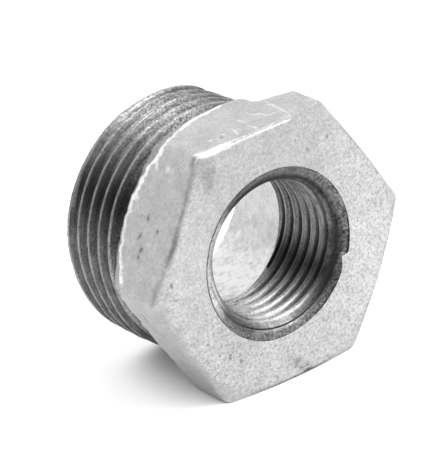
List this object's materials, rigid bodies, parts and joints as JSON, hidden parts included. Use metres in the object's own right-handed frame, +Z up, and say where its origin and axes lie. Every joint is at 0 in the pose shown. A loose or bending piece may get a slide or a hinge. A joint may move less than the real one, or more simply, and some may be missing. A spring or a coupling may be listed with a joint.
{
  "type": "hex bushing",
  "caption": "Galvanised hexagon reducing bushing with a tapered outer pipe thread on a short spigot, a smaller inner pipe thread and a plain cored hole behind it.",
  "frame": {"origin": "middle of the front face, on the fitting's axis, where the smaller pipe enters", "axes": "+Y along the fitting's axis from the front face to the spigot's end, +Z up square to the hexagon's top flat, +X to the right seen from the front"},
  "size_m": [0.0412, 0.0244, 0.036],
  "materials": {
    "galvanised_iron": "hot-dip galvanised, threads cut bare after dipping"
  },
  "bodies": {
    "root": {"hex_bushing": "galvanised_iron"}
  },
  "joints": []
}
